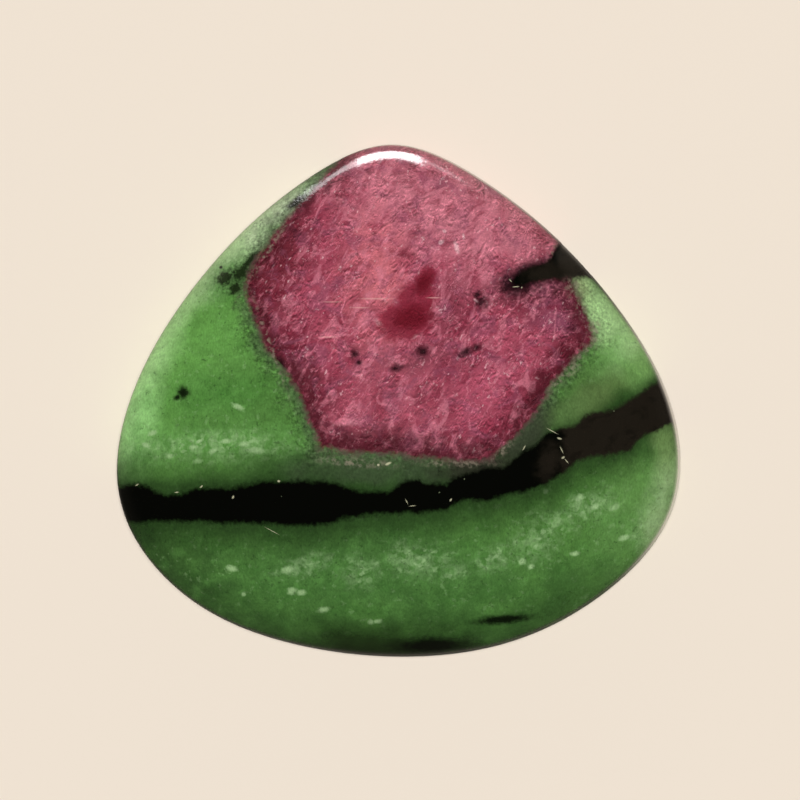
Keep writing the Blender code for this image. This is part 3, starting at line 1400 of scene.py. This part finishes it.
    def zoisite(self, ruby: Socket, black: Socket) -> Socket:
        """Paints the zoisite: cloudy green with milky streaks, dull and grainy beside the ruby.

        Args:
            ruby: the distance out of the ruby.
            black: the distance out of the veins.

        Returns:
            The colour.
        """
        look = self.finish
        uneven = self.wobble(look.cloud / 2, reach=0.12, seed=11.0, detail=1.0)
        # Broad patches: painted reflection at the upper-left and left rims, painted shade towards
        # the wide end.
        colour = self.tinted(linear(look.zoisite), ZOISITE_TINTS_WITH_PAINTED_LIGHT, uneven)
        deep = self.patches(0.48, 0.68, size=1.3, seed=13.0, detail=4.0, stretch=1.4)
        colour = self.coat(colour, look.zoisite_deep, deep, strength=0.30)
        veil = self.patches(0.48, 0.70, size=0.9, seed=12.0, detail=5.0, swirl=0.4)
        colour = self.coat(colour, look.zoisite_light, veil, strength=0.26)
        milky = self.ovals(MILKY_PATCHES, 0.9, self.wobble(0.7, 0.20, 15.0))
        clouded = self.patches(0.34, 0.66, size=0.6, seed=14.0, detail=3.0, swirl=0.8)
        colour = self.coat(colour, look.zoisite_fleck, clouded, milky, strength=0.36)
        flat = self.patches(0.54, 0.66, size=0.38, seed=16.0, detail=1.5, stretch=1.2, turn=10.0)
        colour = self.coat(colour, look.zoisite_fleck, flat, milky, strength=0.40)
        ragged = self.wobble(0.24, 0.12, 23.0)
        grains = self.ovals(PALE_GRAINS, 0.7, ragged)
        colour = self.coat(colour, look.zoisite_fleck, grains, self.near_dome(), strength=0.78)
        specks = self.patches(0.60, 0.72, size=0.40, seed=18.0, detail=2.0)
        colour = self.coat(colour, look.zoisite_fleck, specks, strength=0.16)
        pits = self.patches(0.62, 0.70, size=0.26, seed=17.0, detail=3.0)
        colour = self.coat(colour, look.zoisite_shade, pits, strength=0.42)
        # Partly painted shade: darker towards the wide end's rim.
        colour = self.tinted(colour, DARK_AND_SHADED_EDGES, uneven)
        shade = self.beside(black, 2.9, 0.0, Wobble(1.2, 0.30, 24.0))
        colour = self.coat(colour, look.zoisite_shade, shade, strength=0.86)
        colour = self.tinted(colour, BRIGHT_SIDES, uneven)
        dull = self.beside(ruby, 1.1, 0.1, Wobble(0.9, 0.45, 19.0))
        colour = self.coat(colour, look.rim, dull, strength=0.62)
        rim = self.beside(ruby, 1.7, 0.4, Wobble(0.7, 0.7, 25.0))
        grain = self.patches(0.46, 0.64, size=look.grain * 2.2, seed=20.0, detail=3.0)
        colour = self.coat(colour, look.rim_dark, grain, rim, strength=0.40)
        colour = self.tinted(colour, PALE_SIDES, uneven)
        speckled = self.grained(colour, 0.50, self.cloud(look.grain * 1.8, seed=21.0))
        colour = self.coat(colour, speckled, rim)
        colour = self.tinted(colour, NARROWS, uneven)
        clumps = self.ovals(look.marks.clumps, 0.5, self.wobble(0.26, 0.16, 26.0, 4.0))
        colour = self.coat(colour, look.rim_dark, clumps, strength=0.96)
        fine = self.cloud(look.grain, seed=22.0, detail=1.0, stretch=1.6, turn=90.0)
        mottled = self.cloud(size=0.44, seed=27.0, swirl=0.6)
        return self.grained(colour, 0.13, fine, mottled)

    def ruby(self, reach: Socket, black: Socket) -> Socket:
        """Paints the ruby: rose with crimson and mauve patches, pale wisps and a dark red heart.

        Args:
            reach: the distance out of the ruby.
            black: the distance out of the veins.

        Returns:
            The colour.
        """
        look = self.finish
        uneven = self.wobble(1.2, 0.18, 31.0)
        colour = self.tinted(linear(look.ruby), RUBY_TINTS, uneven)
        wide = {"size": 1.5, "detail": 5.0, "stretch": 1.7, "turn": 40.0, "swirl": 1.2}
        deep = self.patches(0.48, 0.64, seed=33.0, **wide)
        colour = self.coat(colour, look.ruby_deep, deep, strength=0.55)
        mauve = self.patches(0.48, 0.64, size=1.3, seed=32.0, detail=5.0, swirl=1.0)
        colour = self.coat(colour, look.ruby_mauve, mauve, strength=0.52)
        flow = {"size": 0.8, "detail": 5.0, "stretch": 2.0, "turn": 62.0, "swirl": 1.4}
        pale = self.patches(0.50, 0.66, seed=34.0, **flow)
        colour = self.coat(colour, look.ruby_pale, pale, strength=0.52)
        rising = self.wisps(width=0.030, size=0.40, seed=35.0, stretch=2.0, turn=58.0)
        colour = self.coat(colour, look.ruby_pale, rising, strength=0.55)
        # Painted glints: small white specks, gathered in crowds, for light caught by the ruby's
        # grains.
        bright = self.patches(0.60, 0.70, size=0.24, seed=41.0, detail=3.0, stretch=1.4, turn=55.0)
        crowd = self.patches(0.46, 0.62, size=1.4, seed=46.0, detail=2.0)
        colour = self.coat(colour, look.ruby_painted_glint, bright, crowd, strength=0.50)
        margin = self.beside(reach, -1.5, -0.2, Wobble(0.8, 0.6, 38.0))
        patchy = self.patches(0.20, 0.52, size=0.7, seed=39.0, detail=3.0, swirl=0.5)
        colour = self.coat(colour, look.ruby_margin, margin, patchy, strength=0.85)
        partings = self.ovals(RUBY_PARTINGS, 0.8, self.wobble(0.2, 0.16, 45.0))
        colour = self.coat(colour, look.ruby_pale, partings, self.near_dome(), strength=0.66)
        # Painted glints at given places.
        painted_glints = self.ovals(RUBY_PAINTED_GLINTS, 0.8, self.wobble(0.2, 0.10, 45.0))
        colour = self.coat(colour, look.ruby_painted_glint, painted_glints, self.near_dome(), strength=0.56)
        # Painted light and shade on the two sides of each small clod, as from a light on the narrow
        # end's side.
        clods = {"size": 0.55, "detail": 5.0, "stretch": 1.5, "turn": 50.0, "swirl": 2.2}
        rough = self.painted_emboss(colour, 0.45, 0.12, seed=43.0, **clods)
        crowd = self.patches(0.38, 0.62, size=1.1, seed=49.0, detail=3.0)
        colour = self.coat(colour, rough, crowd)
        border = self.beside(black, 0.75, 0.05, Wobble(0.4, 0.25, 36.0))
        colour = self.coat(colour, look.amphibole_red, border, strength=0.66)
        soft = self.wobble(0.5, 0.06, 40.0)
        heart = self.ovals(look.marks.heart, 0.30, soft)
        colour = self.coat(colour, look.ruby_heart_pale, heart, strength=0.90)
        core = self.ovals(look.marks.core, 0.6, soft)
        colour = self.coat(colour, look.ruby_heart, core, strength=0.92)
        sunken = self.ovals(look.marks.sunken, 0.9, self.wobble(0.24, 0.14, 48.0, 4.0))
        colour = self.coat(colour, look.amphibole_red, sunken, self.near_dome(), strength=0.92)
        # Painted light and shade along the fine seams, the same way.
        seams = {"size": 0.20, "detail": 2.0, "stretch": 1.4, "turn": 60.0, "swirl": 1.0}
        seams_painted_emboss = self.painted_emboss(colour, 0.30, 0.06, seed=42.0, **seams)
        crowd = self.patches(0.40, 0.60, size=0.9, seed=50.0, detail=3.0)
        colour = self.coat(colour, seams_painted_emboss, crowd)
        fine = self.cloud(look.grain, seed=44.0, detail=1.0)
        broad = self.cloud(size=0.7, seed=47.0, detail=4.0, stretch=1.6, turn=60.0, swirl=1.0)
        return self.grained(colour, 0.13, fine, broad)

    def amphibole(self) -> Socket:
        """Paints the amphibole: black, and brown-black where a flaw parts it on the right.

        Returns:
            The colour.
        """
        look = self.finish
        across = add_node(self.tree, "SeparateXYZ", {0: self.place})
        past_flaw = self.beside(across, *look.marks.flaw, Wobble(0.8, 0.4, 51.0))
        colour = self.coat(linear(look.amphibole), look.amphibole_brown, past_flaw, strength=0.95)
        brown = self.ovals(BROWN_PATCHES, 0.8, self.wobble(0.8, 0.2, 52.0))
        colour = self.coat(colour, look.amphibole_brown, brown, strength=0.90)
        cleavage = self.patches(0.54, 0.66, size=0.7, seed=54.0, detail=4.0, stretch=2.0, turn=20.0)
        colour = self.coat(colour, look.amphibole, cleavage, strength=0.34)
        # Pale chips in the amphibole, partly painted glints.
        chips_and_glints = self.flecks(size=0.5, share=0.08, radius=0.12, seed=53.0)
        return self.coat(colour, look.vein_chip_glint, chips_and_glints, strength=0.35)

    def paint(self) -> Socket:
        """Paints the whole rock, one mineral over another.

        Returns:
            Its colour.
        """
        look, marks = self.finish, self.finish.marks
        ruby = self.crystal_reach(marks.ruby)
        veins = [self.vein_reach(vein, 60.0 + 5 * i) for i, vein in enumerate(marks.veins)]
        black = worked(self.tree, "MINIMUM", veins[0], veins[1])
        colour = self.zoisite(ruby, black)
        colour = self.coat(colour, self.ruby(ruby, black), self.beside(ruby, *look.ruby_edge))
        inner = self.beside(ruby, *look.contact_inner)
        outer = self.beside(ruby, *look.contact_outer)
        broken = self.patches(0.36, 0.56, size=0.5, seed=71.0)
        colour = self.coat(colour, look.contact, inner, outer, broken, strength=0.52)
        ragged = self.wobble(0.26, 0.08, 70.0)
        pale = self.ovals(PALE_CONTACTS, 0.9, ragged)
        grainy = self.patches(0.44, 0.66, size=look.grain * 2.4, seed=73.0, detail=4.0)
        colour = self.coat(colour, look.contact_pale, pale, grainy, strength=0.62)
        grains = self.ovals(marks.grains, 0.60, ragged)
        colour = self.coat(colour, look.amphibole, grains, strength=0.95)
        in_vein = self.beside(black, *look.vein_edge)
        colour = self.coat(colour, self.amphibole(), in_vein)
        # Pale chips and flaws, many of them painted glints.
        chips_and_glints = self.ovals(CHIPS_AND_GLINTS, 0.6, ragged)
        colour = self.coat(colour, look.chip_and_glint, chips_and_glints, self.near_dome(), strength=0.80)
        scratches = self.ovals(SCRATCHES, 0.6, self.wobble(0.3, 0.10, 72.0))
        return self.coat(colour, look.scratch, scratches, self.near_dome(), strength=0.62)

    def polish(self) -> tuple[Socket, Socket]:
        """Works out how the polish took: roughness and micro-relief.

        Returns:
            The roughness and the height of the micro-relief.
        """
        look = self.finish
        fine = self.cloud(look.grain * 1.6, seed=80.0, detail=2.0)
        pits = self.flecks(size=0.5, share=0.16, radius=0.14, seed=81.0)
        height = worked(self.tree, "SUBTRACT", fine, pits)
        dull = add_node(self.tree, "MapRange", {"Value": fine, "From Min": 0.45, "From Max": 0.8})
        dull = worked(self.tree, "MAXIMUM", dull, pits)
        rough = add_node(
            self.tree, "MapRange", {"Value": dull, "To Min": look.polished, "To Max": look.grainy}
        )
        streaks = self.cloud(look.grain, seed=82.0, detail=2.0, stretch=16.0, turn=25.0)
        feeds = {"Value": streaks, "From Min": CLOUD_MOST[0], "From Max": CLOUD_MOST[1]}
        shares = {"To Min": look.lapped[0], "To Max": look.lapped[1]}
        lapped = add_node(self.tree, "MapRange", {**feeds, **shares})
        back = self.beside(self.height, *look.lapped_edge)
        rough = add_node(self.tree, "Mix", {"Factor": back, 2: rough, 3: lapped})
        return rough, height


class Seen(Enum):
    """What a light does: it lights the stone evenly, or it only shows in the polish."""

    BY_LIT_SURFACES = "lights"
    IN_REFLECTIONS = "shines"


@dataclass(frozen=True)
class SoftBox:
    """A studio soft box that faces the stone."""

    name: str
    azimuth: float
    elevation: float
    distance: float
    width: float
    height: float
    radiance: float
    seen: Seen
    colour: str = "#FFFFFF"

    def hang(self) -> bpy.types.Object:
        """Hangs the box. Its place is in degrees and metres, and its azimuth is read from +X.

        Returns:
            The light.
        """
        data = bpy.data.lights.new(self.name, "AREA")
        data.shape = "RECTANGLE"
        data.size, data.size_y = self.width, self.height
        data.energy = POWER_PER_RADIANCE * self.radiance * self.width * self.height
        data.color = linear(self.colour)[:3]
        box = bpy.data.objects.new(self.name, data)
        turn, rise = math.radians(self.azimuth), math.radians(self.elevation)
        towards = Vector(
            (math.cos(turn) * math.cos(rise), math.sin(turn) * math.cos(rise), math.sin(rise))
        )
        box.location = towards * self.distance
        box.rotation_euler = towards.to_track_quat("Z", "Y").to_euler()
        box.visible_camera = False
        box.visible_glossy = self.seen is Seen.IN_REFLECTIONS
        box.visible_diffuse = self.seen is Seen.BY_LIT_SURFACES
        bpy.context.scene.collection.objects.link(box)
        log.info("light %s", self.name)
        return box


@dataclass(frozen=True)
class Glow:
    """A soft brightness on one side of the room.

    The side is in degrees from +X, and how far round it fades is the cosine of an angle.
    """

    azimuth: float
    fade: float
    radiance: float

    def shine(self, tree: bpy.types.NodeTree, level: Socket) -> Socket:
        """Adds the glow to a world.

        Args:
            tree: the world's node tree.
            level: the level direction that is looked in.

        Returns:
            The radiance that is added there.
        """
        turn = math.radians(self.azimuth)
        feeds = {0: level, 1: (math.cos(turn), math.sin(turn), 0.0)}
        side = add_node(tree, "VectorMath", feeds, out="Value", operation="DOT_PRODUCT")
        return faded(tree, side, self.fade, 1.0, self.radiance)


@dataclass(frozen=True)
class Studio:
    """A pale table, soft light mostly from the narrow end's side, and a camera straight above."""

    floor_colour: str = "#EBE1D3"
    floor_roughness: float = 0.9
    floor_gloss: float = 0.1
    floor_sides: int = 96
    # In metres: the table's radius, the camera's height, and what it sees from and to.
    floor_radius: float = 2.5
    camera_height: float = 0.30
    camera_clip: tuple[float, float] = (0.01, 20.0)
    # In millimetres: how far the table lies below the stone, where the camera looks from the
    # stone's middle, the width that fills the picture, and the width of the camera's sensor.
    floor_gap: float = 0.02
    camera_aim: tuple[float, float] = (0.06, 0.06)
    frame_width: float = 48.16
    sensor_width: float = 36.0
    room_colour: str = "#FFF0DC"
    # The radiance of the room overhead and of its dark walls.
    zenith: float = 0.010
    horizon: float = 0.03
    pale_walls: tuple[Glow, ...] = (Glow(150.0, 0.79, 0.50), Glow(80.0, 0.74, 0.60))
    # As a look into the room sinks, the pale walls fade in between these two values of its upward
    # part, and the table between the next two.
    wall_rise: tuple[float, float] = (0.45, 0.05)
    table_rise: tuple[float, float] = (-0.15, -0.75)
    # The radiance of the table in the stone's wall, and what is added on its brighter side.
    table: float = 0.05
    bright_table: Glow = Glow(-6.0, 0.70, 0.80)
    boxes: tuple[SoftBox, ...] = (
        SoftBox("overhead", 95.0, 88.5, 1.2, 0.25, 0.25, 59.0, Seen.BY_LIT_SURFACES, "#FFFCFA"),
        SoftBox("window", 91.0, 11.0, 1.5, 1.00, 0.40, 12.0, Seen.IN_REFLECTIONS),
        SoftBox("window_edge", 116.0, 11.5, 1.5, 0.46, 0.24, 4.0, Seen.IN_REFLECTIONS),
        SoftBox("window_end", 66.0, 9.0, 1.5, 0.30, 0.16, 1.6, Seen.IN_REFLECTIONS),
    )

    def lay_floor(self) -> None:
        """Lays the pale table under the stone."""
        bpy.ops.mesh.primitive_circle_add(
            vertices=self.floor_sides, radius=self.floor_radius, fill_type="NGON"
        )
        floor = bpy.context.object
        floor.name = "table"
        floor.location.z = -self.floor_gap * MM
        material = bpy.data.materials.new("matt_painted_board")
        material.use_nodes = True
        shader = material.node_tree.nodes["Principled BSDF"]
        shader.inputs["Base Color"].default_value = linear(self.floor_colour)
        shader.inputs["Roughness"].default_value = self.floor_roughness
        shader.inputs["Specular IOR Level"].default_value = self.floor_gloss
        floor.data.materials.append(material)
        # A pale table would lie as a grey band in the polish all round the wall.
        floor.visible_glossy = False

    def light_world(self) -> None:
        """Makes a room that is dark overhead and pale near the horizon."""
        world = bpy.data.worlds.new("studio_room")
        bpy.context.scene.world = world
        world.use_nodes = True
        tree = world.node_tree
        tree.nodes.clear()
        facing = add_node(tree, "TexCoord", {}, out="Generated")
        level = add_node(tree, "VectorMath", {0: facing, 1: (1, 1, 0)}, operation="MULTIPLY")
        level = add_node(tree, "VectorMath", {0: level}, operation="NORMALIZE")
        pale = self.horizon
        for wall in self.pale_walls:
            pale = worked(tree, "ADD", pale, wall.shine(tree, level))
        rise = add_node(tree, "SeparateXYZ", {0: facing}, out="Z")
        low = faded(tree, rise, *self.wall_rise)
        glow = worked(tree, "MULTIPLY_ADD", low, pale, self.zenith)
        board = worked(tree, "ADD", self.bright_table.shine(tree, level), self.table)
        below = faded(tree, rise, *self.table_rise, board)
        glow = worked(tree, "ADD", glow, below)
        feeds = {"Color": linear(self.room_colour), "Strength": glow}
        sky = add_node(tree, "Background", feeds)
        output = tree.nodes.new("ShaderNodeOutputWorld")
        tree.links.new(sky, output.inputs["Surface"])

    def place_camera(self, high: float) -> None:
        """Puts the camera straight above, with the narrow end at the top of the picture.

        Args:
            high: the height of the stone's widest outline in metres.
        """
        data = bpy.data.cameras.new("camera")
        data.sensor_width = self.sensor_width
        data.lens = self.sensor_width * (self.camera_height - high) / (self.frame_width * MM)
        data.clip_start, data.clip_end = self.camera_clip
        camera = bpy.data.objects.new("camera", data)
        camera.location = (*(side * MM for side in self.camera_aim), self.camera_height)
        bpy.context.scene.collection.objects.link(camera)
        bpy.context.scene.camera = camera

    def set_up(self, high: float) -> None:
        """Sets the whole studio up.

        Args:
            high: the height of the stone's widest outline in metres.
        """
        self.lay_floor()
        self.light_world()
        for box in self.boxes:
            box.hang()
        self.place_camera(high)
        bpy.context.scene.view_settings.view_transform = "Standard"


def main() -> None:
    """Builds the stone, dresses it and sets the studio up round it."""
    logging.basicConfig(level=logging.INFO, format="%(name)s: %(message)s")
    low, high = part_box("cabochon")
    cabochon = Cabochon(low, high, Markings())
    stone = cabochon.build()
    cabochon.dress(stone)
    Studio().set_up(cabochon.back_bevel * MM)


if __name__ == "__main__":
    main()
